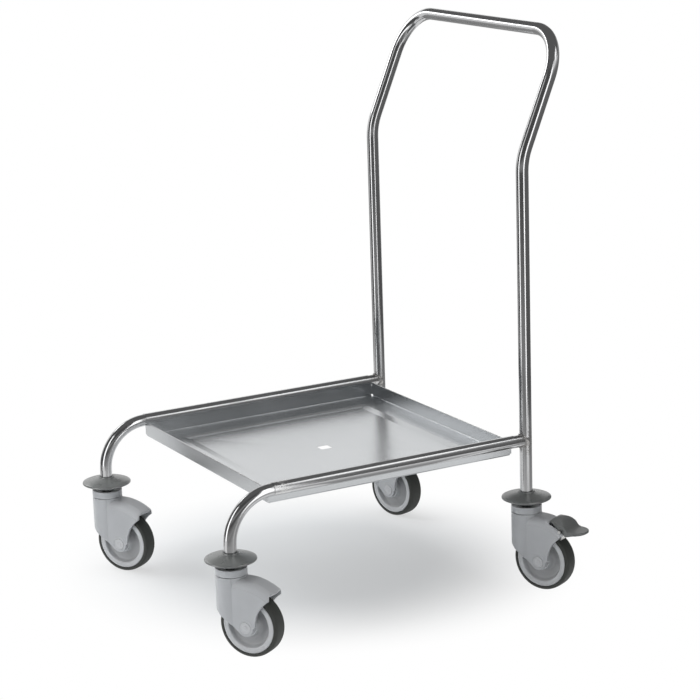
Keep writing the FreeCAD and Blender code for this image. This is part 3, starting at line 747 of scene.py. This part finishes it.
def reflection_only(card, shades, span=None):
    """Make a stage card that only reflections show, in one shade or from one to another over a span."""
    material, shader = new_finish(card.name)
    tone = colour(shades[0], shades[0], shades[0])
    if span:
        x, y, z = shader.position()
        outward = (x * x + y * y) ** 0.5 + z
        level = shader.step(outward, span[0], span[1], below=shades[0], above=shades[1])
        tone = shader.point(level, level, level)
    glow = shader.node("ShaderNodeEmission", sockets={"Color": tone, "Strength": 1.0})
    shader.node("ShaderNodeOutputMaterial", sockets={"Surface": glow})
    card.data.materials.append(material)
    card.visible_camera = False
    card.visible_diffuse = False
    card.visible_shadow = False
    card.visible_transmission = False


def curved_card(name, shades, offsets, low, high):
    """Curved card between two angles right of the camera and two (radius, height) edges."""
    middle = (offsets[0] + offsets[1]) / 2
    half = (offsets[1] - offsets[0]) / 2
    rise = (high[1] - low[1]) / 2
    start_piece()
    bpy.ops.mesh.primitive_cone_add(
        vertices=120,
        radius1=low[0],
        radius2=high[0],
        depth=high[1] - low[1],
        end_fill_type="NOTHING",
        location=(0.0, 0.0, (low[1] + high[1]) / 2),
    )
    card = bpy.context.object
    card.name = name
    def outside(face):
        angle = math.degrees(math.atan2(face.center.y, face.center.x)) - TOWARDS_CAMERA
        return abs((angle - middle + 180.0) % 360.0 - 180.0) > half
    select_faces(card, outside)
    bpy.ops.mesh.delete(type="FACE")
    bpy.ops.object.mode_set(mode="OBJECT")
    reflection_only(card, shades, span=(low[0] - rise, high[0] + rise))


def upright_card(name, shades, offsets, heights):
    """Card standing round the trolley, shaded from its foot to its top."""
    curved_card(name, shades, offsets, (CARD_RADIUS, heights[0]), (CARD_RADIUS, heights[1]))


def floor_card(name, shades, offsets, radii):
    """Card lying on the floor, shaded from its outer edge to its inner one."""
    curved_card(name, shades, offsets, (radii[0], CARD_FOOT), (radii[1], CARD_SILL))


def dark_ceiling(shade, height, size, location):
    """Level card overhead, shown only in reflections."""
    start_piece()
    bpy.ops.mesh.primitive_plane_add(size=size, location=(location[0], location[1], height))
    ceiling = bpy.context.object
    ceiling.name = "dark_ceiling"
    reflection_only(ceiling, (shade, shade))


def photo_camera():
    """Camera where the photograph was taken from."""
    azimuth = math.radians(CAMERA_AZIMUTH)
    elevation = math.radians(CAMERA_ELEVATION)
    roll = math.radians(CAMERA_ROLL)
    back = Vector((
        math.sin(azimuth) * math.cos(elevation),
        -math.cos(azimuth) * math.cos(elevation),
        math.sin(elevation),
    ))
    level_right = Vector((math.cos(azimuth), math.sin(azimuth), 0.0))
    level_up = back.cross(level_right)
    right = math.cos(roll) * level_right + math.sin(roll) * level_up
    up = math.cos(roll) * level_up - math.sin(roll) * level_right
    lens = bpy.data.cameras.new("photo_camera")
    lens.sensor_fit = "HORIZONTAL"
    lens.sensor_width = SENSOR_WIDTH
    lens.lens = LENS_LENGTH
    lens.clip_end = 200.0
    holder = bpy.data.objects.new("photo_camera", lens)
    bpy.context.scene.collection.objects.link(holder)
    turn = Matrix((right, up, back)).transposed()
    holder.matrix_world = Matrix.Translation(CAMERA_PLACE) @ turn.to_4x4()
    bpy.context.scene.camera = holder


pale_floor()
studio_world()

# Lamps: degrees right of the camera, distance and height in metres, size of the face, brightness
soft_lamp("right_strip", 35.0, 1.6, 0.55, size=(0.38, 1.9), brightness=1.25, lights=False)
soft_lamp("high_right_lamp", 72.0, 1.9, 2.2, size=(1.0, 0.7), brightness=1.6)
soft_lamp("left_lamp", -57.0, 2.1, 0.6, size=(1.1, 1.7), brightness=2.95, mirrored=False)
soft_lamp("left_strip", -60.0, 1.6, 0.4, size=(0.40, 1.9), brightness=1.5, lights=False)
soft_lamp("key_lamp", -108.0, 1.9, 1.7, size=(0.9, 0.9), brightness=9.0, mirrored=False)
soft_lamp("back_lamp", -132.0, 2.3, 1.72, size=(1.6, 0.7), brightness=3.6, mirrored=False)
soft_lamp("back_strip", -127.0, 2.3, 1.55, size=(1.1, 0.42), brightness=3.2, lights=False)
soft_lamp("overhead_lamp", -150.0, 0.4, 2.0, size=(1.2, 1.2), brightness=4.4, mirrored=False)
soft_lamp("rear_fill", 20.0, 1.3, 0.05, size=(0.5, 0.5), brightness=3.0, mirrored=False)

# Cards: shades from edge to edge, degrees right of the camera, then heights or radii of the two edges
front_stops = ((ground, 0.34), (0.28, 0.09), (0.50, 0.34), (0.88, 0.09), (CARD_TOP, 0.11))
for belt, (low, high) in enumerate(zip(front_stops, front_stops[1:])):
    upright_card(f"dark_front_{belt}", (low[1], high[1]), FRONT, (low[0], high[0]))
floor_card("dark_front_floor", (0.20, 0.60), (-40.0, 28.0), (CARD_RADIUS, 0.55))
upright_card("dark_left", (0.10, 0.10), (-114.0, -69.0), (ground, CARD_TOP))
floor_card("dark_left_floor", (0.12, 0.30), (-97.0, -76.0), (CARD_RADIUS, 0.62))
floor_card("wall_floor", (0.36, 0.41), (-118.0, -104.0), (1.60, 0.95))
upright_card("dark_right", (0.12, 0.20), RIGHT, (ground, 0.75))
upright_card("upper_right", (0.20, 0.50), RIGHT, (0.75, 1.25))
floor_card("dark_right_floor", (0.25, 0.45), (66.0, 150.0), (CARD_RADIUS, 0.75))
floor_card("near_right_floor", (1.0, 0.35), (28.0, 66.0), (1.45, 0.34))
upright_card("dark_high_right", (0.14, 0.14), (92.0, 145.0), (1.25, CARD_TOP))
floor_card("dark_back_floor", (0.55, 0.35), (-200.0, -122.0), (12.0, 1.5))
dark_ceiling(shade=0.15, height=2.4, size=6.0, location=(-0.87, 0.48))
photo_camera()
bpy.context.scene.view_settings.view_transform = "Standard"
